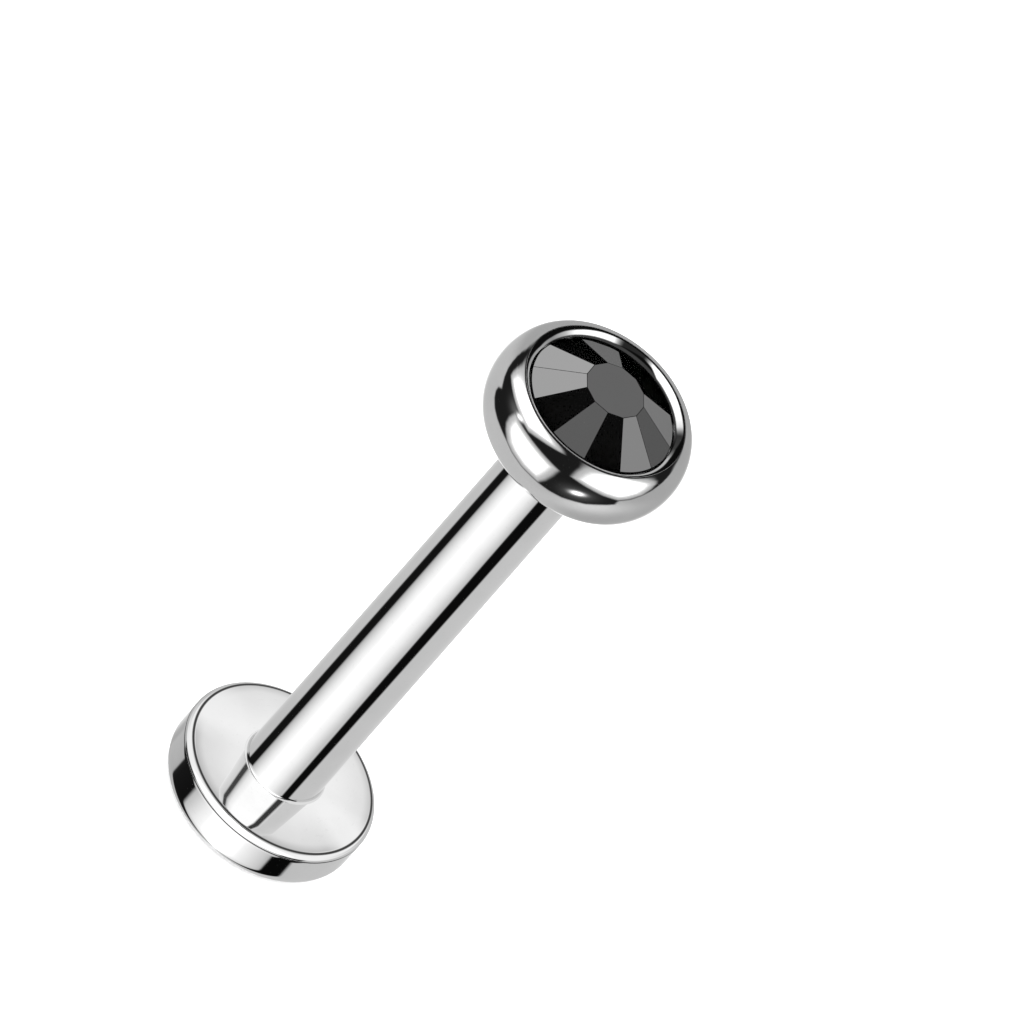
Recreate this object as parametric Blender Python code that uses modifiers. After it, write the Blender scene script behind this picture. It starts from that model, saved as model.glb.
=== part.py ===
"""Labret stud with a flat disc back, a straight post and a black faceted stone in a rounded steel setting.

Metres, +Z up. The stud stands on its disc: the origin is the centre of the disc's flat back, +Z runs up
the post to the stone, and +X passes through an edge between two of the stone's crown facets.
"""

import math

import bpy

# Disc back: flat underneath, slightly domed on the side that faces the post
DISC_RADIUS = 0.00150
DISC_THICKNESS = 0.00084  # measured beside the post
DISC_FACE_CURVE = 0.0120  # radius of the domed face
DISC_RIM_FILLET = 0.00009
DISC_BACK_FILLET = 0.00027

# Post: 16 gauge, 8 mm between the disc and the setting
POST_RADIUS = 0.00060
WEARABLE_LENGTH = 0.00800
FOOT_FILLET = 0.00006
POST_END_CHAMFER = 0.00003
BORE_RADIUS = 0.00040
BORE_DEPTH = 0.00220
BORE_MOUTH_CHAMFER = 0.00004

# Setting: a turned cup with a fat rounded rim, a lip pressed over the stone's edge and a pin below
SETTING_RADIUS = 0.00155
RIM_HEIGHT = 0.00110
RIM_REACH = 0.00033  # how far the rounded rim stands out past its flat underside
LIP_START = 47.8  # degrees above level that the rim faces where the lip begins
LIP_ROUND = 0.00017
LIP_CREST_ROUND = 0.00004
LIP_SLOPE = 28.0  # degrees that the lip falls towards the stone
LIP_EDGE_CHAMFER = 0.00001
LIP_INNER_RADIUS = 0.00118
PIN_RADIUS = 0.00038
PIN_LENGTH = 0.00200
PIN_END_CHAMFER = 0.00008

# Stone: twelve crown facets round a flat table, with a plain cone below the girdle
STONE_FACETS = 12
STONE_TABLE_RADIUS = 0.000464  # to the table's corners
STONE_TABLE_RISE = 0.00135  # above the setting's underside
STONE_CROWN_SLOPE = 31.6  # degrees, along the edges between the facets
STONE_GIRDLE_RADIUS = 0.00122
STONE_GIRDLE_HEIGHT = 0.00006
STONE_BACK_RADIUS = 0.00025
STONE_BACK_DEPTH = 0.00055
STONE_GAP = 0.00002

ROUND_STEPS = 64
SHARP_ANGLE = math.radians(30)
MERGE_DISTANCE = 1e-7

# Levels above the disc's back
SETTING_BOTTOM = DISC_THICKNESS + WEARABLE_LENGTH
TABLE_HEIGHT = SETTING_BOTTOM + STONE_TABLE_RISE


def clear_scene():
    """Remove every object that the file opened with."""
    for old in list(bpy.data.objects):
        bpy.data.objects.remove(old, do_unlink=True)


def metal(name, colour, roughness):
    """Polished metal."""
    material = bpy.data.materials.new(name)
    material.use_nodes = True
    shader = material.node_tree.nodes["Principled BSDF"]
    shader.inputs["Base Color"].default_value = (*colour, 1.0)
    shader.inputs["Metallic"].default_value = 1.0
    shader.inputs["Roughness"].default_value = roughness
    return material


def stone(name, colour, roughness):
    """Opaque glassy stone."""
    material = bpy.data.materials.new(name)
    material.use_nodes = True
    shader = material.node_tree.nodes["Principled BSDF"]
    shader.inputs["Base Color"].default_value = (*colour, 1.0)
    shader.inputs["Metallic"].default_value = 0.0
    shader.inputs["Roughness"].default_value = roughness
    return material


def arc(centre, reach, start, end, steps):
    """Points on an elliptic arc in the profile plane, angles in degrees from +X towards +Z."""
    points = []
    for i in range(steps + 1):
        angle = math.radians(start + (end - start) * i / steps)
        points.append((centre[0] + reach[0] * math.cos(angle), centre[1] + reach[1] * math.sin(angle)))
    return points


def turned(name, profile, steps, material, collection):
    """A solid turned about Z from (radius, height) points that start and end on the axis."""
    mesh = bpy.data.meshes.new(name)
    edges = [(i, i + 1) for i in range(len(profile) - 1)]
    mesh.from_pydata([(radius, 0.0, height) for radius, height in profile], edges, [])
    mesh.materials.append(material)
    piece = bpy.data.objects.new(name, mesh)
    collection.objects.link(piece)
    screw = piece.modifiers.new("Turn", "SCREW")
    screw.axis = "Z"
    screw.angle = 2 * math.pi
    screw.steps = steps
    screw.render_steps = steps
    screw.use_merge_vertices = True
    screw.merge_threshold = MERGE_DISTANCE
    screw.use_smooth_shade = False
    return piece


def smooth(piece):
    """Shade a turned piece smooth but for its sharp edges: the modifier's result is kept as the mesh."""
    evaluated = piece.evaluated_get(bpy.context.evaluated_depsgraph_get())
    mesh = bpy.data.meshes.new_from_object(evaluated)
    piece.modifiers.clear()
    piece.data = mesh
    mesh.shade_smooth()
    mesh.set_sharp_from_angle(angle=SHARP_ANGLE)


def face_height(radius):
    """Height of the disc's domed face at a distance from the axis."""
    foot_radius = POST_RADIUS + FOOT_FILLET
    top = DISC_THICKNESS - math.sqrt(DISC_FACE_CURVE**2 - foot_radius**2)
    return top + math.sqrt(DISC_FACE_CURVE**2 - radius**2)


def post_profile():
    """The bore, the post, the foot's fillet, the domed face, the rim and the flat back."""
    bore_floor = SETTING_BOTTOM - BORE_DEPTH
    points = [
        (0.0, bore_floor),
        (BORE_RADIUS, bore_floor),
        (BORE_RADIUS, SETTING_BOTTOM - BORE_MOUTH_CHAMFER),
        (BORE_RADIUS + BORE_MOUTH_CHAMFER, SETTING_BOTTOM),
        (POST_RADIUS - POST_END_CHAMFER, SETTING_BOTTOM),
        (POST_RADIUS, SETTING_BOTTOM - POST_END_CHAMFER),
    ]
    foot_radius = POST_RADIUS + FOOT_FILLET
    foot_centre = (foot_radius, DISC_THICKNESS + FOOT_FILLET)
    points += arc(foot_centre, (FOOT_FILLET, FOOT_FILLET), 180, 270, 5)

    rim_centre_radius = DISC_RADIUS - DISC_RIM_FILLET
    dome_end = rim_centre_radius / (1 - DISC_RIM_FILLET / DISC_FACE_CURVE)
    dome_steps = 6
    for i in range(1, dome_steps):
        radius = foot_radius + (dome_end - foot_radius) * i / dome_steps
        points.append((radius, face_height(radius)))
    rim_start = math.degrees(math.acos(dome_end / DISC_FACE_CURVE))
    rim_centre_height = face_height(dome_end) - DISC_RIM_FILLET * math.sin(math.radians(rim_start))
    rim_centre = (rim_centre_radius, rim_centre_height)
    points += arc(rim_centre, (DISC_RIM_FILLET, DISC_RIM_FILLET), rim_start, 0, 5)

    back_centre = (DISC_RADIUS - DISC_BACK_FILLET, DISC_BACK_FILLET)
    points += arc(back_centre, (DISC_BACK_FILLET, DISC_BACK_FILLET), 0, -90, 7)
    points.append((0.0, 0.0))
    return points


def crown_edge_height(radius):
    """Height of the edge between two crown facets at a distance from the axis."""
    return TABLE_HEIGHT - math.tan(math.radians(STONE_CROWN_SLOPE)) * (radius - STONE_TABLE_RADIUS)


def lip_profile(start):
    """The lip from the stone outwards to the point where the rim's oval begins."""
    facing = math.radians(LIP_START)
    outer = (start[0] - LIP_ROUND * math.cos(facing), start[1] - LIP_ROUND * math.sin(facing))
    crest = (outer[0], outer[1] + LIP_ROUND - LIP_CREST_ROUND)
    leaning = math.radians(LIP_SLOPE)
    slope_radius = crest[0] - LIP_CREST_ROUND * math.sin(leaning)
    slope_height = crest[1] + LIP_CREST_ROUND * math.cos(leaning)
    edge_radius = LIP_INNER_RADIUS + LIP_EDGE_CHAMFER
    edge_height = slope_height - math.tan(leaning) * (slope_radius - edge_radius)
    points = [
        (LIP_INNER_RADIUS, crown_edge_height(LIP_INNER_RADIUS) + STONE_GAP),
        (LIP_INNER_RADIUS, edge_height - LIP_EDGE_CHAMFER),
        (edge_radius, edge_height),
    ]
    points += arc(crest, (LIP_CREST_ROUND, LIP_CREST_ROUND), 90 + LIP_SLOPE, 90, 3)
    points += arc(outer, (LIP_ROUND, LIP_ROUND), 90, LIP_START, 4)[1:-1]
    return points


def setting_profile():
    """The stone's pocket, the lip, the rounded rim, the flat underside and the pin."""
    pocket_radius = STONE_GIRDLE_RADIUS + STONE_GAP
    girdle_bottom = crown_edge_height(STONE_GIRDLE_RADIUS) - STONE_GIRDLE_HEIGHT
    points = [
        (0.0, girdle_bottom - STONE_BACK_DEPTH - STONE_GAP),
        (STONE_BACK_RADIUS + STONE_GAP, girdle_bottom - STONE_BACK_DEPTH - STONE_GAP),
        (pocket_radius, girdle_bottom - STONE_GAP),
        (pocket_radius, crown_edge_height(pocket_radius) + STONE_GAP),
    ]
    rim_middle = (SETTING_RADIUS - RIM_REACH, SETTING_BOTTOM + RIM_HEIGHT / 2)
    half_oval = (RIM_REACH, RIM_HEIGHT / 2)
    oval_start = math.atan(math.tan(math.radians(LIP_START)) * half_oval[1] / half_oval[0])
    rim = arc(rim_middle, half_oval, math.degrees(oval_start), -90, 18)
    points += lip_profile(rim[0]) + rim

    pin_end = SETTING_BOTTOM - PIN_LENGTH
    points += [
        (PIN_RADIUS, SETTING_BOTTOM),
        (PIN_RADIUS, pin_end + PIN_END_CHAMFER),
        (PIN_RADIUS - PIN_END_CHAMFER, pin_end),
        (0.0, pin_end),
    ]
    return points


def crystal_profile():
    """The table, a crown facet, the girdle and the plain back, along an edge between two facets."""
    girdle_top = crown_edge_height(STONE_GIRDLE_RADIUS)
    girdle_bottom = girdle_top - STONE_GIRDLE_HEIGHT
    return [
        (0.0, TABLE_HEIGHT),
        (STONE_TABLE_RADIUS, TABLE_HEIGHT),
        (STONE_GIRDLE_RADIUS, girdle_top),
        (STONE_GIRDLE_RADIUS, girdle_bottom),
        (STONE_BACK_RADIUS, girdle_bottom - STONE_BACK_DEPTH),
        (0.0, girdle_bottom - STONE_BACK_DEPTH),
    ]


clear_scene()
stud = bpy.data.collections.new("labret_stud")
bpy.context.scene.collection.children.link(stud)

steel = metal("polished_steel", (0.80, 0.80, 0.80), 0.06)
setting_steel = metal("polished_setting_steel", (0.78, 0.78, 0.78), 0.06)
black_stone = stone("black_stone", (0.01, 0.01, 0.012), 0.03)

post = turned("post_with_disc", post_profile(), ROUND_STEPS, steel, stud)
setting = turned("bezel_setting", setting_profile(), ROUND_STEPS, setting_steel, stud)
turned("crystal", crystal_profile(), STONE_FACETS, black_stone, stud)
smooth(post)
smooth(setting)
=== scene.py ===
"""Looks of a labret stud: a polished steel post and disc, and a black stone in a rounded setting."""

import math

import bpy
import numpy as np
from mathutils import Matrix, Vector


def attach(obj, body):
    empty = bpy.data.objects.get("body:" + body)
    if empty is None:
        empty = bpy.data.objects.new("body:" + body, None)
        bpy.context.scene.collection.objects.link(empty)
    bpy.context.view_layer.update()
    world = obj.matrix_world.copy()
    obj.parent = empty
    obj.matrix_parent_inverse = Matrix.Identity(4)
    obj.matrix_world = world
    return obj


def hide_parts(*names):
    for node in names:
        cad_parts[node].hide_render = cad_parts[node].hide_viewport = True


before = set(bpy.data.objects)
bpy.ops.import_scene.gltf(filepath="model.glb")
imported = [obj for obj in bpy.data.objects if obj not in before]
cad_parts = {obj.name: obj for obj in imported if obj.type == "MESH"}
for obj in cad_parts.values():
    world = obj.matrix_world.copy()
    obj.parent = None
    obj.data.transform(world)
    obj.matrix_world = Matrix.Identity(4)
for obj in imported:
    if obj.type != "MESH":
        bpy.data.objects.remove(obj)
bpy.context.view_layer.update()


# Disc back
# The round foot of the stud, turned from surgical steel together with the post. Its domed face rolls off
# at the rim, which two fine turned grooves set off from the face and from the wall, each darkened by a line
# of painted shade, and its back is flat.

MM = 0.001
ROUND_STEPS = 320
DISC_RADIUS = 1.50
DISC_THICKNESS = 0.84
FACE_CURVE = 12.0
ROLL_START = 1.27
ROLL_RATE = 0.56  # how fast the face steepens past the roll's start, per mm
RIM_ROUND = 0.09
BACK_ROUND = 0.27
POST_RADIUS = 0.60
LINE_WIDTH = 0.022
LINE_DEPTH = 0.008


def arc(centre, reach, start, end, steps):
    """Points on an elliptic arc in the profile plane, angles in degrees from outwards towards up."""
    points = []
    for i in range(steps + 1):
        angle = math.radians(start + (end - start) * i / steps)
        points.append((centre[0] + reach[0] * math.cos(angle), centre[1] + reach[1] * math.sin(angle)))
    return points


def run(start, end, steps):
    """Evenly spaced points on a straight line, its start left out."""
    points = []
    for i in range(1, steps + 1):
        share = i / steps
        points.append((start[0] + (end[0] - start[0]) * share, start[1] + (end[1] - start[1]) * share))
    return points


def lathe_tree():
    """Turns a profile, whose points lie in the XZ plane, about Z."""
    tree = bpy.data.node_groups.new("Turn on lathe", "GeometryNodeTree")
    tree.interface.new_socket("Profile", in_out="INPUT", socket_type="NodeSocketGeometry")
    tree.interface.new_socket("Steps Round", in_out="INPUT", socket_type="NodeSocketInt")
    tree.interface.new_socket("Weld", in_out="INPUT", socket_type="NodeSocketFloat")
    tree.interface.new_socket("Rounded", in_out="INPUT", socket_type="NodeSocketBool")
    tree.interface.new_socket("Metal", in_out="INPUT", socket_type="NodeSocketMaterial")
    tree.interface.new_socket("Turned", in_out="OUTPUT", socket_type="NodeSocketGeometry")
    nodes, links = tree.nodes, tree.links

    def count_maths(operation, first, second=None):
        node = nodes.new("ShaderNodeMath")
        node.operation = operation
        for socket, value in zip(node.inputs, (first, second)):
            if value is None:
                continue
            if isinstance(value, (int, float)):
                socket.default_value = value
            else:
                links.new(value, socket)
        return node.outputs[0]

    entry = nodes.new("NodeGroupInput")
    size = nodes.new("GeometryNodeAttributeDomainSize")
    links.new(entry.outputs["Profile"], size.inputs["Geometry"])
    count = size.outputs["Point Count"]
    index = nodes.new("GeometryNodeInputIndex").outputs[0]
    along = count_maths("FLOORED_MODULO", index, count)
    around = count_maths("FLOOR", count_maths("DIVIDE", count_maths("ADD", index, 0.5), count))

    grid = nodes.new("GeometryNodeMeshGrid")
    links.new(count_maths("ADD", entry.outputs["Steps Round"], 1), grid.inputs["Vertices X"])
    links.new(count, grid.inputs["Vertices Y"])

    sample = nodes.new("GeometryNodeSampleIndex")
    sample.data_type = "FLOAT_VECTOR"
    links.new(entry.outputs["Profile"], sample.inputs["Geometry"])
    links.new(nodes.new("GeometryNodeInputPosition").outputs[0], sample.inputs["Value"])
    links.new(along, sample.inputs["Index"])
    profile = nodes.new("ShaderNodeSeparateXYZ")
    links.new(sample.outputs["Value"], profile.inputs[0])

    share = count_maths("DIVIDE", around, entry.outputs["Steps Round"])
    turn = count_maths("MULTIPLY", share, 2 * math.pi)
    place = nodes.new("ShaderNodeCombineXYZ")
    for operation, axis in (("COSINE", "X"), ("SINE", "Y")):
        way = count_maths(operation, turn)
        links.new(count_maths("MULTIPLY", profile.outputs["X"], way), place.inputs[axis])
    links.new(profile.outputs["Z"], place.inputs["Z"])
    move = nodes.new("GeometryNodeSetPosition")
    links.new(grid.outputs["Mesh"], move.inputs["Geometry"])
    links.new(place.outputs[0], move.inputs["Position"])

    weld = nodes.new("GeometryNodeMergeByDistance")
    links.new(move.outputs[0], weld.inputs["Geometry"])
    links.new(entry.outputs["Weld"], weld.inputs["Distance"])
    shade = nodes.new("GeometryNodeSetShadeSmooth")
    links.new(weld.outputs[0], shade.inputs["Geometry"])
    links.new(entry.outputs["Rounded"], shade.inputs["Shade Smooth"])
    realize = nodes.new("GeometryNodeRealizeInstances")
    links.new(shade.outputs[0], realize.inputs[0])
    paint = nodes.new("GeometryNodeSetMaterial")
    links.new(realize.outputs[0], paint.inputs["Geometry"])
    links.new(entry.outputs["Metal"], paint.inputs["Material"])
    leave = nodes.new("NodeGroupOutput")
    links.new(paint.outputs[0], leave.inputs["Turned"])
    return tree


lathe = lathe_tree()


def turned(name, profile, steps, material, rounded=True):
    """A closed turned piece from a profile in millimetres that starts and ends on the axis."""
    mesh = bpy.data.meshes.new(name + "_profile")
    points = [(radius * MM, 0.0, height * MM) for radius, height in profile]
    mesh.from_pydata(points, [(i, i + 1) for i in range(len(points) - 1)], [])
    blank = bpy.data.objects.new(name + "_profile", mesh)
    bpy.context.scene.collection.objects.link(blank)
    modifier = blank.modifiers.new("Lathe", "NODES")
    modifier.node_group = lathe
    values = {"Steps Round": steps, "Weld": 1e-7, "Rounded": rounded, "Metal": material}
    for socket in lathe.interface.items_tree:
        if socket.name in values:
            modifier[socket.identifier] = values[socket.name]
    result = blank.evaluated_get(bpy.context.evaluated_depsgraph_get())
    piece = bpy.data.objects.new(name, bpy.data.meshes.new_from_object(result))
    bpy.context.scene.collection.objects.link(piece)
    bpy.data.objects.remove(blank)
    return piece


def face_height(radius):
    """Height of the face at a distance from the axis: a shallow dome that rolls off at the rim."""
    centre = DISC_THICKNESS - math.sqrt(FACE_CURVE**2 - POST_RADIUS**2)
    dome = centre + math.sqrt(FACE_CURVE**2 - radius**2)
    return dome - ROLL_RATE * max(0.0, radius - ROLL_START) ** 2 / 2


def face_tilt(radius):
    """How far the face leans outwards from level, in degrees."""
    roll = math.atan(ROLL_RATE * max(0.0, radius - ROLL_START))
    return math.degrees(math.asin(radius / FACE_CURVE) + roll)


RIM_START = 1.4275
FACE_LINE = RIM_START - 0.014
LINE_HALF = LINE_WIDTH / 2
rim_tilt = face_tilt(RIM_START)
rim_centre = (
    DISC_RADIUS - RIM_ROUND,
    face_height(RIM_START) - RIM_ROUND * math.cos(math.radians(rim_tilt)),
)
WALL_LINE = rim_centre[1] - 0.004


def disc_profile():
    points = [(0.0, face_height(0.0))]
    for i in range(1, 61):
        radius = (FACE_LINE - LINE_HALF) * (i / 60) ** 0.8
        points.append((radius, face_height(radius)))
    points.append((FACE_LINE, face_height(FACE_LINE) - LINE_DEPTH))
    points.append((FACE_LINE + LINE_HALF, face_height(FACE_LINE + LINE_HALF)))
    points += arc(rim_centre, (RIM_ROUND, RIM_ROUND), 90 - rim_tilt, 4, 20)
    points += [(DISC_RADIUS, WALL_LINE + LINE_HALF), (DISC_RADIUS - LINE_DEPTH, WALL_LINE)]
    points += [(DISC_RADIUS, WALL_LINE - LINE_HALF)]
    points += run(points[-1], (DISC_RADIUS, BACK_ROUND), 10)[:-1]
    points += arc((DISC_RADIUS - BACK_ROUND, BACK_ROUND), (BACK_ROUND, BACK_ROUND), 0, -90, 24)
    points += run(points[-1], (0.0, 0.0), 10)
    return points


def shader_maths(tree, operation, *values, clamp=False):
    """A sum's result; each value is a number or a socket."""
    node = tree.nodes.new("ShaderNodeMath")
    node.operation = operation
    node.use_clamp = clamp
    for socket, value in zip(node.inputs, values):
        if isinstance(value, (int, float)):
            socket.default_value = value
        else:
            tree.links.new(value, socket)
    return node.outputs[0]


def spread(tree, value, low, high, start, end):
    """Map a value's range to another one."""
    node = tree.nodes.new("ShaderNodeMapRange")
    tree.links.new(value, node.inputs["Value"])
    for name, number in (("From Min", low), ("From Max", high), ("To Min", start), ("To Max", end)):
        if isinstance(number, (int, float)):
            node.inputs[name].default_value = number
        else:
            tree.links.new(number, node.inputs[name])
    return node.outputs[0]


def colours(sockets):
    """The colour sockets of a mix node, in order."""
    return [socket for socket in sockets if socket.type == "RGBA"]


def polishing_marks():
    """Marks of turning and buffing: fine rings about Z, sparse hairline scratches and cloudy haze."""
    tree = bpy.data.node_groups.new("Polishing marks", "ShaderNodeTree")
    for name in ("Ring Density", "Haze Density", "Bright", "Dull", "Smooth", "Hazy"):
        tree.interface.new_socket(name, in_out="INPUT", socket_type="NodeSocketFloat")
    tree.interface.new_socket("Tint", in_out="OUTPUT", socket_type="NodeSocketColor")
    tree.interface.new_socket("Roughness", in_out="OUTPUT", socket_type="NodeSocketFloat")
    tree.interface.new_socket("Height", in_out="OUTPUT", socket_type="NodeSocketFloat")
    entry = tree.nodes.new("NodeGroupInput")
    where = tree.nodes.new("ShaderNodeTexCoord").outputs["Object"]
    split = tree.nodes.new("ShaderNodeSeparateXYZ")
    tree.links.new(where, split.inputs[0])
    across = shader_maths(tree, "MULTIPLY", split.outputs["X"], split.outputs["X"])
    across = shader_maths(tree, "MULTIPLY_ADD", split.outputs["Y"], split.outputs["Y"], across)
    radius = shader_maths(tree, "SQRT", across)
    clear_radius = shader_maths(tree, "MAXIMUM", radius, 1e-6)
    along = shader_maths(tree, "SUBTRACT", radius, split.outputs["Z"])

    def ring_noise(density, around, detail):
        """Noise that is drawn out along the rings, without a seam."""
        vector = tree.nodes.new("ShaderNodeCombineXYZ")
        for axis in ("X", "Y"):
            turn = shader_maths(tree, "DIVIDE", split.outputs[axis], clear_radius)
            tree.links.new(shader_maths(tree, "MULTIPLY", turn, around), vector.inputs[axis])
        tree.links.new(shader_maths(tree, "MULTIPLY", along, density), vector.inputs["Z"])
        noise = tree.nodes.new("ShaderNodeTexNoise")
        noise.inputs["Scale"].default_value = 1.0
        noise.inputs["Detail"].default_value = detail
        tree.links.new(vector.outputs[0], noise.inputs["Vector"])
        return noise.outputs[0]

    rings = ring_noise(entry.outputs["Ring Density"], 2.5, 3.0)
    hairs = ring_noise(shader_maths(tree, "MULTIPLY", entry.outputs["Ring Density"], 0.6), 9.0, 1.0)
    hairs = spread(tree, hairs, 0.66, 0.74, 0.0, 1.0)
    haze = tree.nodes.new("ShaderNodeTexNoise")
    haze.inputs["Detail"].default_value = 4.0
    tree.links.new(where, haze.inputs["Vector"])
    tree.links.new(entry.outputs["Haze Density"], haze.inputs["Scale"])
    cloud = spread(tree, haze.outputs[0], 0.35, 0.70, 0.0, 1.0)
    wear = shader_maths(tree, "MULTIPLY_ADD", hairs, 0.5, cloud, clamp=True)
    leave = tree.nodes.new("NodeGroupOutput")
    tint = tree.nodes.new("ShaderNodeMix")
    tint.data_type = "RGBA"
    tree.links.new(wear, tint.inputs["Factor"])
    for name, side in zip(("Bright", "Dull"), colours(tint.inputs)):
        shade = tree.nodes.new("ShaderNodeCombineColor")
        for part in ("Red", "Green", "Blue"):
            tree.links.new(entry.outputs[name], shade.inputs[part])
        tree.links.new(shade.outputs[0], side)
    tree.links.new(colours(tint.outputs)[0], leave.inputs["Tint"])
    rough = spread(tree, wear, 0.0, 1.0, entry.outputs["Smooth"], entry.outputs["Hazy"])
    tree.links.new(rough, leave.inputs["Roughness"])
    tree.links.new(shader_maths(tree, "MULTIPLY_ADD", hairs, -0.4, rings), leave.inputs["Height"])
    return tree


def groove_shade_line():
    """A mask for a dark line of painted shade that runs round the axis, in a groove or where two parts meet.
    """
    tree = bpy.data.node_groups.new("Groove shade line", "ShaderNodeTree")
    for name in ("Radius", "Height", "Width"):
        tree.interface.new_socket(name, in_out="INPUT", socket_type="NodeSocketFloat")
    tree.interface.new_socket("Mask", in_out="OUTPUT", socket_type="NodeSocketFloat")
    entry = tree.nodes.new("NodeGroupInput")
    split = tree.nodes.new("ShaderNodeSeparateXYZ")
    tree.links.new(tree.nodes.new("ShaderNodeTexCoord").outputs["Object"], split.inputs[0])
    across = shader_maths(tree, "MULTIPLY", split.outputs["X"], split.outputs["X"])
    across = shader_maths(tree, "MULTIPLY_ADD", split.outputs["Y"], split.outputs["Y"], across)
    outward = shader_maths(tree, "SUBTRACT", shader_maths(tree, "SQRT", across), entry.outputs["Radius"])
    upward = shader_maths(tree, "SUBTRACT", split.outputs["Z"], entry.outputs["Height"])
    square = shader_maths(tree, "MULTIPLY", outward, outward)
    square = shader_maths(tree, "MULTIPLY_ADD", upward, upward, square)
    share = shader_maths(tree, "DIVIDE", shader_maths(tree, "SQRT", square), entry.outputs["Width"])
    leave = tree.nodes.new("NodeGroupOutput")
    tree.links.new(spread(tree, share, 0.35, 0.75, 1.0, 0.0), leave.inputs["Mask"])
    return tree


polish_group = polishing_marks()
shade_line_group = groove_shade_line()


def polished(name, polish, relief, lines=()):
    """Polished metal or glass; polish holds the marks' inputs, and each line of painted shade its radius,
    height and width.
    """
    material = bpy.data.materials.new(name)
    material.use_nodes = True
    tree = material.node_tree
    shader = tree.nodes["Principled BSDF"]
    marks = tree.nodes.new("ShaderNodeGroup")
    marks.node_tree = polish_group
    for socket, value in polish.items():
        marks.inputs[socket].default_value = value
    colour, roughness = marks.outputs["Tint"], marks.outputs["Roughness"]
    for line in lines:
        groove = tree.nodes.new("ShaderNodeGroup")
        groove.node_tree = shade_line_group
        for socket, value in zip(("Radius", "Height", "Width"), line):
            groove.inputs[socket].default_value = value * MM
        # Painted shade: each line's mask darkens the colour to near black and roughens it.
        painted_shade = tree.nodes.new("ShaderNodeMix")
        painted_shade.data_type = "RGBA"
        unshaded, shaded = colours(painted_shade.inputs)
        tree.links.new(groove.outputs["Mask"], painted_shade.inputs["Factor"])
        tree.links.new(colour, unshaded)
        shaded.default_value = (0.05, 0.05, 0.05, 1.0)
        colour = colours(painted_shade.outputs)[0]
        roughness = shader_maths(tree, "MULTIPLY_ADD", groove.outputs["Mask"], 0.3, roughness)
    tree.links.new(colour, shader.inputs["Base Color"])
    tree.links.new(roughness, shader.inputs["Roughness"])
    bump = tree.nodes.new("ShaderNodeBump")
    bump.inputs["Strength"].default_value = 1.0
    bump.inputs["Distance"].default_value = relief
    tree.links.new(marks.outputs["Height"], bump.inputs["Height"])
    tree.links.new(bump.outputs[0], shader.inputs["Normal"])
    return material


mirror_polish = {"Ring Density": 3.2e4, "Haze Density": 1.6e3, "Bright": 0.81, "Dull": 0.77}
mirror_polish.update({"Smooth": 0.02, "Hazy": 0.045})
# Painted shade: dark lines in the face's groove and the wall's groove; the face's line is wider and takes in
# the shade where the face rolls off.
FACE_SHADE_LINE_WIDTH = 0.034  # the dark line on the face is wider than its groove
disc_shade_lines = [(FACE_LINE, face_height(FACE_LINE), FACE_SHADE_LINE_WIDTH), (DISC_RADIUS, WALL_LINE, LINE_WIDTH)]
disc_steel = polished("turned_disc_steel", mirror_polish, 3e-8, disc_shade_lines)
disc_steel.node_tree.nodes["Principled BSDF"].inputs["Metallic"].default_value = 1.0
disc = turned("disc_back", disc_profile(), ROUND_STEPS, disc_steel)
disc.visible_glossy = False
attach(disc, "root")
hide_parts("post_with_disc")


# Post
# The straight 16 gauge bar that stands on the disc, one piece of steel with it. It meets the face in a
# small round fillet, and its top end has the bore that takes the setting's pin.

SETTING_BOTTOM = 8.84
FOOT_ROUND = 0.045
FOOT_SINK = 0.02  # the post's foot goes this far into the disc
END_ROUND = 0.03
BORE_RADIUS = 0.40
BORE_DEPTH = 2.2
BORE_MOUTH = 0.04


def post_profile():
    bore_floor = SETTING_BOTTOM - BORE_DEPTH
    points = [(0.0, bore_floor), (BORE_RADIUS, bore_floor)]
    points += run(points[-1], (BORE_RADIUS, SETTING_BOTTOM - BORE_MOUTH), 6)
    points += [(BORE_RADIUS + BORE_MOUTH, SETTING_BOTTOM)]
    points += run(points[-1], (POST_RADIUS - END_ROUND, SETTING_BOTTOM), 3)
    end_centre = (POST_RADIUS - END_ROUND, SETTING_BOTTOM - END_ROUND)
    points += arc(end_centre, (END_ROUND, END_ROUND), 85, 0, 6)
    foot_centre = (POST_RADIUS + FOOT_ROUND, DISC_THICKNESS + FOOT_ROUND)
    points += run(points[-1], (POST_RADIUS, SETTING_BOTTOM - 0.08), 2)
    points += run(points[-1], (POST_RADIUS, foot_centre[1] + 0.05), 60)
    points += run(points[-1], (POST_RADIUS, foot_centre[1] + 0.004), 3)
    points += arc(foot_centre, (FOOT_ROUND, FOOT_ROUND), 180, 266, 12)
    points += [(foot_centre[0], DISC_THICKNESS - FOOT_SINK), (0.0, DISC_THICKNESS - FOOT_SINK)]
    return points


post_steel = polished("polished_post_steel", mirror_polish, 8e-9)
post_steel.node_tree.nodes["Principled BSDF"].inputs["Metallic"].default_value = 1.0
post = turned("straight_post", post_profile(), ROUND_STEPS, post_steel)
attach(post, "root")
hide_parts("post_with_disc")


# Setting
# A fat rounded ring of polished steel, turned with the pin that screws down into the post. Its lip is
# pressed inwards over the stone's edge: a round crest, a short slope and an upright wall.

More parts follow.
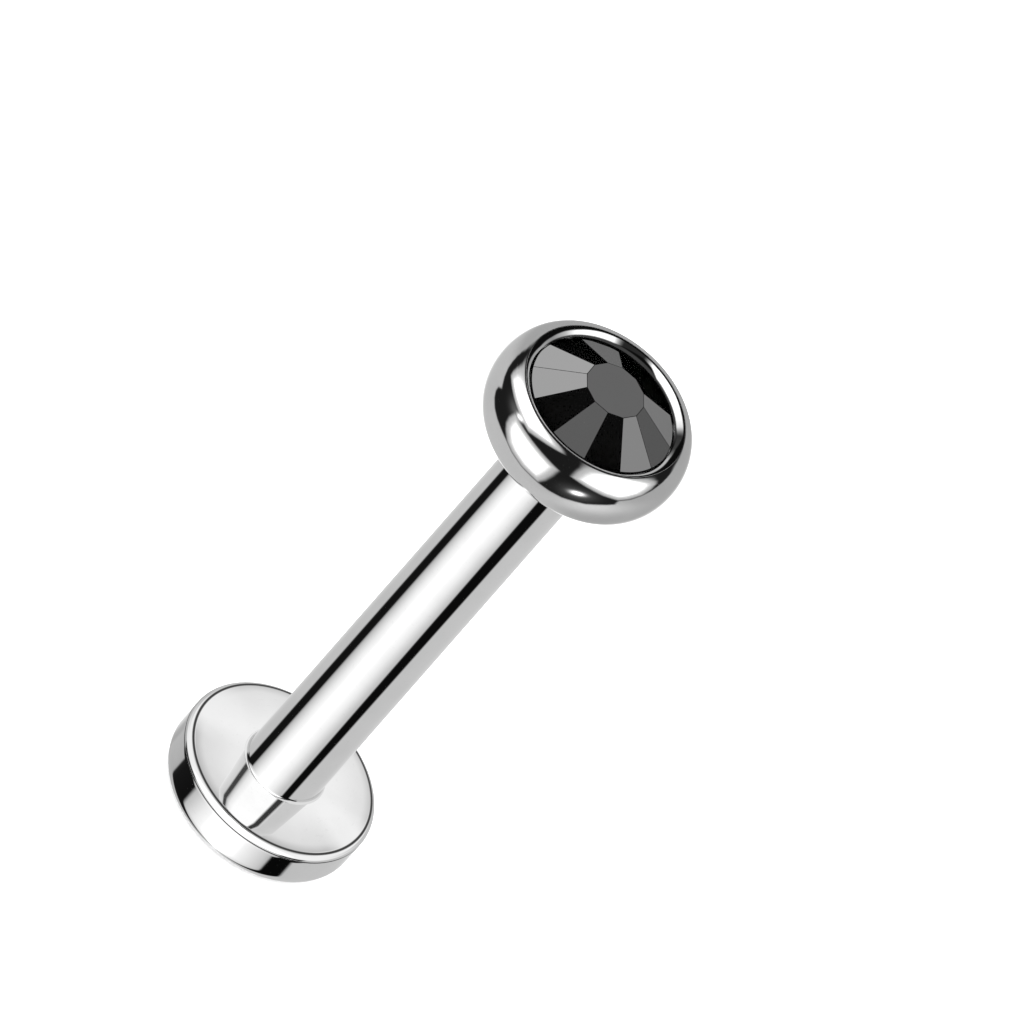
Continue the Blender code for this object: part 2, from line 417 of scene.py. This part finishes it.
SETTING_RADIUS = 1.55
RIM_HALF_HEIGHT = 0.55
RIM_REACH = 0.33
LIP_START = 47.8  # degrees above level that the rim faces where the lip begins
LIP_ROUND = 0.17
POCKET_EDGE = 0.057  # the pocket's wall ends this far below the lip's highest ring
PIN_RADIUS = 0.38
PIN_LENGTH = 2.0
PIN_BEVEL = 0.08
TABLE_RADIUS = 0.464
TABLE_TOP = SETTING_BOTTOM + 1.35
CROWN_SLOPE = 31.6
GIRDLE_RADIUS = 1.22
GIRDLE_HEIGHT = 0.06
CONE_RADIUS = 0.25
CONE_DEPTH = 0.55
STONE_GAP = 0.02


def crown_height(radius):
    """Height of the edge between two crown facets at a distance from the axis."""
    return TABLE_TOP - math.tan(math.radians(CROWN_SLOPE)) * (radius - TABLE_RADIUS)


def setting_profile():
    pocket = GIRDLE_RADIUS + STONE_GAP
    girdle_bottom = crown_height(GIRDLE_RADIUS) - GIRDLE_HEIGHT
    cone = (CONE_RADIUS + STONE_GAP, girdle_bottom - CONE_DEPTH - STONE_GAP)
    points = [(0.0, cone[1]), cone, (pocket, girdle_bottom - STONE_GAP)]

    middle = (SETTING_RADIUS - RIM_REACH, SETTING_BOTTOM + RIM_HALF_HEIGHT)
    facing = math.radians(LIP_START)
    oval_start = math.atan(math.tan(facing) * RIM_HALF_HEIGHT / RIM_REACH)
    oval = arc(middle, (RIM_REACH, RIM_HALF_HEIGHT), math.degrees(oval_start), -90, 110)
    outer = (oval[0][0] - LIP_ROUND * math.cos(facing), oval[0][1] - LIP_ROUND * math.sin(facing))
    crest = outer[1] + LIP_ROUND
    points += [(pocket, crest - POCKET_EDGE), (outer[0] - 0.003, crest - 0.0012)]
    points += arc(outer, (LIP_ROUND, LIP_ROUND), 90, LIP_START, 24)[:-1]
    points += oval
    pin_end = SETTING_BOTTOM - PIN_LENGTH
    points += [(PIN_RADIUS, SETTING_BOTTOM), (PIN_RADIUS, pin_end + PIN_BEVEL)]
    points += [(PIN_RADIUS - PIN_BEVEL, pin_end), (0.0, pin_end)]
    return points


setting_polish = {**mirror_polish, "Bright": 0.79, "Dull": 0.75}
setting_steel = polished("polished_setting_steel", setting_polish, 3e-8)
setting_steel.node_tree.nodes["Principled BSDF"].inputs["Metallic"].default_value = 1.0
setting = turned("stone_setting", setting_profile(), ROUND_STEPS, setting_steel)
setting.visible_glossy = False
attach(setting, "root")
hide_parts("bezel_setting")


# Lip
# The setting's inner edge, pressed and burnished over the stone: from the crest a round shoulder leads to
# a short slope, and an upright wall goes down to the stone, with a dark line of painted shade where the two
# meet.

CREST = (1.2635, 9.9172)
SHOULDER_ROUND = 0.08
SLOPE_START = 22  # degrees that the surface leans inwards where the slope begins
SLOPE_END = 46
SLOPE_ROUND = 0.30
EDGE_ROUND = 0.012
LIP_FOOT = 1.27
LIP_SEAT = 0.02
STONE_TOUCH = 0.004  # the wall ends this far above the stone


def round_centre(point, lean, radius):
    """Centre of the round that passes a point where the surface leans inwards by some degrees."""
    lean = math.radians(lean)
    return point[0] + radius * math.sin(lean), point[1] - radius * math.cos(lean)


def lip_profile():
    shoulder_centre = (CREST[0], CREST[1] - SHOULDER_ROUND)
    shoulder = arc(shoulder_centre, (SHOULDER_ROUND, SHOULDER_ROUND), 90 + SLOPE_START, 90, 16)
    slope_centre = round_centre(shoulder[0], SLOPE_START, SLOPE_ROUND)
    slope = arc(slope_centre, (SLOPE_ROUND, SLOPE_ROUND), 90 + SLOPE_END, 90 + SLOPE_START, 24)
    edge_centre = round_centre(slope[0], SLOPE_END, EDGE_ROUND)
    edge = arc(edge_centre, (EDGE_ROUND, EDGE_ROUND), 180, 90 + SLOPE_END, 8)
    underside = crown_height(edge[0][0]) + STONE_TOUCH
    points = [(LIP_FOOT, CREST[1] - LIP_SEAT), (LIP_FOOT, underside), (edge[0][0], underside)]
    points += run(points[-1], edge[0], 5)[:-1]
    points += edge + slope[1:-1] + shoulder + [points[0]]
    return points


lip_points = lip_profile()
wall_foot = lip_points[2]
# Painted shade: a dark line round the foot of the lip's wall, where it meets the stone.
lip_shade_lines = [(wall_foot[0] + 0.02, wall_foot[1] - 0.012, 0.045)]
lip_steel = polished("burnished_lip_steel", setting_polish, 3e-8, lip_shade_lines)
lip_steel.node_tree.nodes["Principled BSDF"].inputs["Metallic"].default_value = 1.0
lip = turned("setting_lip", lip_points, ROUND_STEPS, lip_steel)
lip.visible_glossy = False
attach(lip, "root")
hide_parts("bezel_setting")


# Stone
# A cut and polished black glass stone with a twelve-sided table and twelve crown facets. It lies in the
# setting's pocket under the lip, and its plain cone points down.

FACETS = 12
EDGE_WEAR = 0.005
stone_polish = {"Ring Density": 1.5e4, "Haze Density": 2.4e3, "Bright": 0.0016, "Dull": 0.0024}
stone_polish.update({"Smooth": 0.008, "Hazy": 0.016})
black_glass = polished("black_glass", stone_polish, 1e-9)
black_glass.node_tree.nodes["Principled BSDF"].inputs["IOR"].default_value = 1.9

girdle_top = crown_height(GIRDLE_RADIUS)
stone_profile = [(0.0, TABLE_TOP), (TABLE_RADIUS, TABLE_TOP), (GIRDLE_RADIUS, girdle_top)]
cone_bottom = girdle_top - GIRDLE_HEIGHT - CONE_DEPTH
stone_profile += [(GIRDLE_RADIUS, girdle_top - GIRDLE_HEIGHT), (CONE_RADIUS, cone_bottom)]
stone_profile += [(0.0, cone_bottom)]
crystal = turned("faceted_stone", stone_profile, FACETS, black_glass, rounded=False)
bevel = crystal.modifiers.new("Worn edges", "BEVEL")
bevel.width = EDGE_WEAR * MM
bevel.segments = 2
bevel.limit_method = "ANGLE"
bevel.angle_limit = math.radians(10)
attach(crystal, "root")
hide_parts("crystal")


# Camera
# It stands a little to the left of the stud's front and 42 degrees up, rolled so that the stud leans to
# the right in the picture. The photograph shows no perspective that can be measured.

TURN = math.radians(-15.9)  # the camera stands this far round from looking along +Y
RISE = math.radians(42.2)
AXIS_IN_PICTURE = math.radians(48.69)  # the stud's axis above the picture's horizontal
PICTURE_SIZE = 1024
PIXELS_PER_MM = 72.25
AIM_HEIGHT = 0.774  # millimetres above the floor, and then up the picture's axis and across it
AIM_ALONG = 4.765
AIM_ACROSS = 0.035
DISTANCE = 0.2
back = Vector((math.sin(TURN) * math.cos(RISE), -math.cos(TURN) * math.cos(RISE), math.sin(RISE)))
across = Vector((math.cos(TURN), math.sin(TURN), 0.0))
along = back.cross(across)
right = math.sin(AXIS_IN_PICTURE) * across + math.cos(AXIS_IN_PICTURE) * along
up = -math.cos(AXIS_IN_PICTURE) * across + math.sin(AXIS_IN_PICTURE) * along
centre = Vector((0.0, 0.0, AIM_HEIGHT * MM)) + along * AIM_ALONG * MM + across * AIM_ACROSS * MM
camera = bpy.data.objects.new("camera", bpy.data.cameras.new("camera"))
camera.data.type = "ORTHO"
camera.data.ortho_scale = PICTURE_SIZE / PIXELS_PER_MM * MM
camera.data.clip_start = 0.001
camera.data.clip_end = 1.0
place = Matrix((right, up, back)).transposed().to_4x4()
place.translation = centre + back * DISTANCE
camera.matrix_world = place
bpy.context.scene.collection.objects.link(camera)
bpy.context.scene.camera = camera


# Studio
# Each piece has its own light tent, a sphere round the stud that only that piece mirrors. The tents follow
# tones and shapes measured in the photograph, so they suit its camera's angle and serve other views less
# well. An even sky lights the pale floor.


def in_picture(directions):
    """Where directions lie round the camera's, in degrees to the right and up."""
    directions = np.asarray(directions, float)
    angle = np.degrees(np.arccos(np.clip(directions @ np.array(back), -1, 1)))
    x, y = directions @ np.array(right), directions @ np.array(up)
    length = np.maximum(np.hypot(x, y), 1e-9)
    return angle * x / length, angle * y / length


def mirrored(normal):
    """Where the light comes from that a surface facing along a normal mirrors to the camera."""
    normal = np.array(normal)
    x, y = in_picture([2 * (normal @ np.array(back)) * normal - np.array(back)])
    return x[0], y[0]


def tent(name, radius, height, brightness, seen_by):
    """A sphere, in mm, that shines inwards; brightness gives the light for an array of directions."""
    material = bpy.data.materials.new(name)
    shape = turned(name, arc((0, height), (radius, radius), -90, 90, 180), 360, material)
    mesh = shape.data
    points = np.empty(len(mesh.vertices) * 3, np.float32)
    mesh.vertices.foreach_get("co", points)
    points = (points.reshape(-1, 3) / MM - (0, 0, height)) / radius
    values = brightness(points).astype(np.float32)
    mesh.attributes.new("brightness", "FLOAT", "POINT").data.foreach_set("value", values)

    material.use_nodes = True
    tree = material.node_tree
    tree.nodes.clear()
    shine = tree.nodes.new("ShaderNodeEmission")
    source = tree.nodes.new("ShaderNodeAttribute")
    source.attribute_name = "brightness"
    tree.links.new(source.outputs["Fac"], shine.inputs["Strength"])
    both = tree.nodes.new("ShaderNodeAddShader")
    tree.links.new(shine.outputs[0], both.inputs[0])
    tree.links.new(tree.nodes.new("ShaderNodeBsdfTransparent").outputs[0], both.inputs[1])
    tree.links.new(both.outputs[0], tree.nodes.new("ShaderNodeOutputMaterial").inputs["Surface"])
    material.cycles.emission_sampling = "NONE"

    for ray in ("camera", "diffuse", "shadow", "transmission", "volume_scatter"):
        setattr(shape, "visible_" + ray, False)
    lit = bpy.data.collections.new(name + "_lights")
    for piece in seen_by:
        lit.objects.link(piece)
    shape.light_linking.receiver_collection = lit


def compass(directions):
    """Degrees round from the camera's side, towards the right of the picture, and above level."""
    sideways = directions @ np.array(across)
    towards = directions @ np.array(across.cross((0, 0, 1)))
    elevation = np.degrees(np.arcsin(np.clip(directions[:, 2], -1, 1)))
    return np.degrees(np.arctan2(sideways, towards)), elevation


def mirror_facing(directions):
    """How far surfaces that mirror directions to the camera lean from level, and which way they face."""
    normal = directions + np.array(back)
    normal /= np.maximum(np.linalg.norm(normal, axis=1, keepdims=True), 1e-9)
    return np.degrees(np.arccos(np.clip(normal[:, 2], -1, 1))), compass(normal)[0]


def ease(value, low, high):
    """0 below low, 1 above high and a smooth step between them."""
    share = np.clip((value - low) / (high - low), 0, 1)
    return share * share * (3 - 2 * share)


def depth_inside(outline, x, y):
    """Distance to a closed outline of (x, y) corners, positive inside it."""
    nearest = np.full(x.shape, 1e9)
    inside = np.zeros(x.shape, bool)
    for (ax, ay), (bx, by) in zip(outline, outline[1:] + outline[:1]):
        dx, dy = bx - ax, by - ay
        share = np.clip(((x - ax) * dx + (y - ay) * dy) / (dx * dx + dy * dy), 0, 1)
        nearest = np.minimum(nearest, np.hypot(x - ax - share * dx, y - ay - share * dy))
        if ay != by:
            crosses = ((ay > y) != (by > y)) & (x < ax + (y - ay) * dx / dy)
            inside ^= crosses
    return np.where(inside, nearest, -nearest)


def spot(x, y, middle, reach):
    """A soft round glow, 1 in its middle."""
    return np.exp(-(((x - middle[0]) / reach[0]) ** 2) - ((y - middle[1]) / reach[1]) ** 2)


# Corners in degrees right of and above the camera's direction, traced from the photograph's reflections
SOFTBOX_TOP = [
    (-41, 9), (-30, 8), (-10, 8), (3, 10), (12, 14), (23, 23), (36, 41), (46, 57), (61, 71), (45, 78),
    (30, 82), (0, 84), (-30, 82.5), (-48, 77), (-57, 71), (-55.5, 60), (-52.5, 45), (-46, 20),
]
SOFTBOX_LEFT = [
    (-60, 24.5), (-16.4, -34.5), (-30, -49), (-44, -61), (-57, -68.5), (-76, -51), (-87, -33),
    (-91, -20), (-89, -4), (-85, 6), (-76, 15.5), (-68, 20.5),
]
SOFTBOX_RIGHT = [
    (62.5, 70), (53, 48.5), (40, 25), (23, -3.3), (9.6, -21.1), (-3, -38), (10, -50.5), (27, -64.5),
    (44, -73.5), (58, -70), (76, -58), (87, -40), (92, -20), (89.5, -2), (86, 10), (77, 36),
    (67.5, 57),
]
DARK_ROOM = [
    (0, 96.5), (30, 90), (45, 83.5), (63, 72.5), (77, 60), (88.5, 41), (96, 25), (99.5, 12),
    (102, -8), (100, -21), (95, -33), (88, -46), (76, -59), (60, -70.5), (44, -75), (38, -84.5),
    (29, -86.5), (0, -90), (-29, -85.5), (-45, -78), (-57, -69.5), (-76, -51.5), (-87, -34),
    (-92, -20), (-96, -12), (-105, 7), (-109, 20), (-109, 34.5), (-105, 45), (-98, 50.5), (-88, 50),
    (-80, 67), (-69, 80), (-56, 88.5), (-38, 96), (-18, 98.5),
]
DARK = 0.014

# Small lamps and the glow round them, placed after the photograph: middle, reach and strength
LAMPS = [((-5, -70), (7.5, 3.6), 3.0), ((-5, -71), (20, 12), 0.10)]
LAMPS += [((-50, 23), (5, 4), 2.5), ((-56, 28), (12, 14), 0.12)]


def setting_room(directions):
    """Three softboxes and two small lamps in a dark room, with a grey backdrop round it."""
    x, y = in_picture(directions)
    angle = np.hypot(x, y)
    grey = 0.47 + 0.15 * ease(-x, 20, 80) + 0.36 * spot(x, y, (5, -94), (50, 18))
    grey += 0.9 * ease(angle, 148, 178)
    light = np.full(x.shape, DARK)
    light += (grey - DARK) * (1 - ease(depth_inside(DARK_ROOM, x, y), -2.5, 2.0))
    for outline in (SOFTBOX_TOP, SOFTBOX_LEFT, SOFTBOX_RIGHT):
        depth = depth_inside(outline, x, y)
        box = 0.62 * ease(depth, -2.5, 4.0) + 3.2 * ease(depth, 2.5, 24) ** 1.3
        light = np.maximum(light, DARK + box)
    crest = mirrored((0, 0, 1))
    from_crest = np.hypot(x - 0.87 * crest[0], y - 0.87 * crest[1])
    light = DARK + (light - DARK) * ease(from_crest, 13, 17)
    for middle, reach, strength in LAMPS:
        light += strength * spot(x, y, middle, reach)
    return light


tent("setting_tent", 800, 0, setting_room, [setting])


STEEL_MIRROR = 0.8  # share of the light that polished steel mirrors


def tone(level):
    """The light that a mirror of steel shows as a tone from 0 to 255."""
    share = np.asarray(level) / 255
    linear = np.where(share > 0.04045, ((share + 0.055) / 1.055) ** 2.4, share / 12.92)
    return linear / STEEL_MIRROR


def shades(azimuth, stops):
    """Light by azimuth from (azimuth, tone) stops."""
    at, level = zip(*stops)
    return np.interp(azimuth, at, tone(level))


# The light band on the lip, measured in the photograph: place round the axis, its middle's lean, half its
# width and its tone
LIP_BAND = [
    (0, 36, 4, 185), (12, 36, 4, 60), (25, 30, 8, 50), (33, 31, 9, 230), (45, 31.5, 8.5, 290),
    (60, 30.5, 10.5, 290), (74, 30, 10.5, 290), (82, 25.5, 5.5, 275), (90, 24, 5, 40),
    (106, 28, 8, 34), (113, 30, 8, 265), (122, 31, 7.5, 290), (142, 34, 6, 285), (152, 35, 6, 190),
    (165, 36.5, 4.5, 140), (180, 37, 4, 165), (200, 28, 6, 155), (220, 20, 6, 185), (240, 11, 8, 215),
    (260, 9, 7, 150), (280, 9, 7, 150), (300, 11, 8, 185), (320, 20, 6, 185), (340, 30, 7, 175),
    (360, 36, 4, 185),
]


def lip_room(directions):
    """Black, with the light band laid out by which way the mirroring surface leans."""
    lean, facing = mirror_facing(directions)
    round_axis = (facing + 90) % 360
    at, middle, half, level = zip(*LIP_BAND)
    middle, half = np.interp(round_axis, at, middle), np.interp(round_axis, at, half)
    band = 1 - ease(np.abs(lean - middle), half - 2, half + 2)
    light = tone(12) + tone(np.interp(round_axis, at, level)) * band
    far = ease(np.sin(np.radians(round_axis)), 0.2, 0.5)
    return np.maximum(light, tone(65) * far * ease(lean, 36, 40))


tent("lip_tent", 700, 0, lip_room, [lip])


# Tones by azimuth round the post, read off the photograph and adjusted; past 255 they are pure white
POST_LEFT = [
    (-180, 214), (-164, 208), (-152, 200), (-140, 193), (-128, 189), (-99, 190), (-93.5, 22),
    (-86, 17), (-71, 20), (-65.5, 180), (-62, 194), (-56, 212), (-44, 238), (-34, 252), (-24, 275),
    (-10, 275),
]
POST_RIGHT = [(0, 255), (8, 247), (16, 238), (24, 223), (32, 207), (38, 195)]
POST_BEHIND = [(80, 192), (128, 193), (144, 198), (152, 200), (164, 208), (180, 215)]
POST_SOFT = [(-180, 222), (-103, 205), (-95, 65), (-81, 65), (-73, 195), (-60, 235), (-40, 255)]
MIRROR_TWICE = 1.25  # makes up for the light lost where the disc mirrors the post


def post_room(directions):
    """A white front, two black strips and grey sides, all of them softer above for the disc to mirror."""
    azimuth, elevation = compass(directions)
    lift = np.clip(elevation + 39.4, -12, 12)
    strip_start = 42 - 0.36 * lift
    strip_end = 71.5 + 0.6 * lift
    light = shades(azimuth, POST_LEFT + POST_RIGHT + POST_BEHIND)
    strip = ease(azimuth, strip_start - 2.5, strip_start + 2.5)
    strip *= 1 - ease(azimuth, strip_end - 3, strip_end + 3)
    light = light * (1 - strip) + tone(11) * strip
    softened = shades(azimuth, POST_SOFT)
    upper = ease(elevation, 0, 20)
    behind = ease(azimuth, 62, 72)
    softened = softened * (1 - behind) + tone(200) * behind
    strip = ease(azimuth, 40, 49) * (1 - ease(azimuth, 60, 70))
    softened = softened * (1 - strip) + tone(55) * strip
    return light * (1 - upper) + MIRROR_TWICE * softened * upper


tent("post_tent", 25, 5, post_room, [post])

# Tones by azimuth round the disc's wall, read off the photograph and adjusted
WALL_STOPS = [
    (-180, 236), (-168, 220), (-156, 194), (-148, 170), (-140, 164), (-132, 180), (-104, 174),
    (-97.6, 168), (-94.7, 30), (-88, 22), (-60.3, 16), (-55.5, 192), (-52, 200), (-44, 219),
    (-36, 236), (-26, 250), (-16, 285), (12, 285), (24, 246), (32, 233), (40, 219), (48, 202),
    (52.5, 183), (55.2, 8), (76.5, 8), (80.5, 188), (104, 191), (150, 190), (160, 198), (168, 216),
    (180, 236),
]

# How far the face darkens towards its rim, fitted to the photograph: place round the axis and share
FACE_SHADE = [(0, 0), (15, 0.8), (150, 0.8), (172, 0), (190, 0), (208, 1), (332, 1), (345, 0), (360, 0)]
FRONT_WHITE = 300


def disc_room(directions):
    """The wall's strips and grey sides below, and a broad bright ceiling that the face mirrors."""
    azimuth, elevation = compass(directions)
    below = shades(azimuth, WALL_STOPS)
    lean, facing = mirror_facing(directions)
    at, share = zip(*FACE_SHADE)
    face_shade = 0.062 * np.clip(lean - 3, 0, 8) * np.interp((facing - 90) % 360, at, share)
    rim_shade = 0.55 * ease(np.abs(elevation - 41), 9, 22) * ease(np.abs(azimuth) / 180, 0.5, 0.9)
    on_rim = ease(lean, 11.5, 13)
    ceiling = tone(241) - face_shade * (1 - on_rim) - rim_shade * on_rim
    ceiling = np.maximum(ceiling, tone(190))
    front = ease(-np.abs(azimuth), -75, -40)
    ceiling = ceiling * (1 - front) + tone(FRONT_WHITE) * front
    upper = ease(elevation, -14, 4)
    return below * (1 - upper) + ceiling * upper


tent("disc_tent", 400, 0, disc_room, [disc])

# Light on the table, and on the crown facets in order round the stone, each matched to the photograph
TABLE_LIGHT = 1.07
FACET_LIGHT = [0, 0.42, 0, 0, 0.86, 0.66, 2.2, 0, 1.06, 0, 3.4, 2.8]


def stone_room(directions):
    """Small cards in a black room, one where the table and each facet that isn't black look."""
    x, y = in_picture(directions)
    lean = math.atan(math.tan(math.radians(CROWN_SLOPE)) / math.cos(math.pi / FACETS))
    cards = [(mirrored((0, 0, 1)), TABLE_LIGHT)]
    for index, level in enumerate(FACET_LIGHT):
        turn = math.radians(135 - 360 / FACETS * index)
        facing = (math.sin(lean) * math.cos(turn), math.sin(lean) * math.sin(turn), math.cos(lean))
        cards.append((mirrored(facing), level))
    light = np.zeros(x.shape)
    for middle, level in cards:
        light += level * (1 - ease(np.hypot(x - middle[0], y - middle[1]), 6, 9))
    return light


tent("stone_tent", 600, 0, stone_room, [crystal])

floor_paint = bpy.data.materials.new("pale_floor")
floor_paint.use_nodes = True
floor_shader = floor_paint.node_tree.nodes["Principled BSDF"]
floor_shader.inputs["Base Color"].default_value = (0.95, 0.95, 0.95, 1.0)
floor_shader.inputs["Roughness"].default_value = 0.9
floor_shader.inputs["Specular IOR Level"].default_value = 0.0
bpy.ops.mesh.primitive_plane_add(size=0.6)
floor = bpy.context.object
floor.name = "floor"
floor.data.materials.append(floor_paint)
floor.visible_glossy = False
floor.visible_shadow = False

SKY_LIGHT = 2.4
world = bpy.data.worlds.new("studio")
bpy.context.scene.world = world
world.use_nodes = True
sky = world.node_tree
glossy = sky.nodes.new("ShaderNodeLightPath").outputs["Is Glossy Ray"]
daylight = shader_maths(sky, "MULTIPLY_ADD", glossy, -SKY_LIGHT, SKY_LIGHT)
sky.links.new(daylight, sky.nodes["Background"].inputs["Strength"])
sky.nodes["Background"].inputs["Color"].default_value = (1, 1, 1, 1)

bpy.context.scene.view_settings.view_transform = "Standard"

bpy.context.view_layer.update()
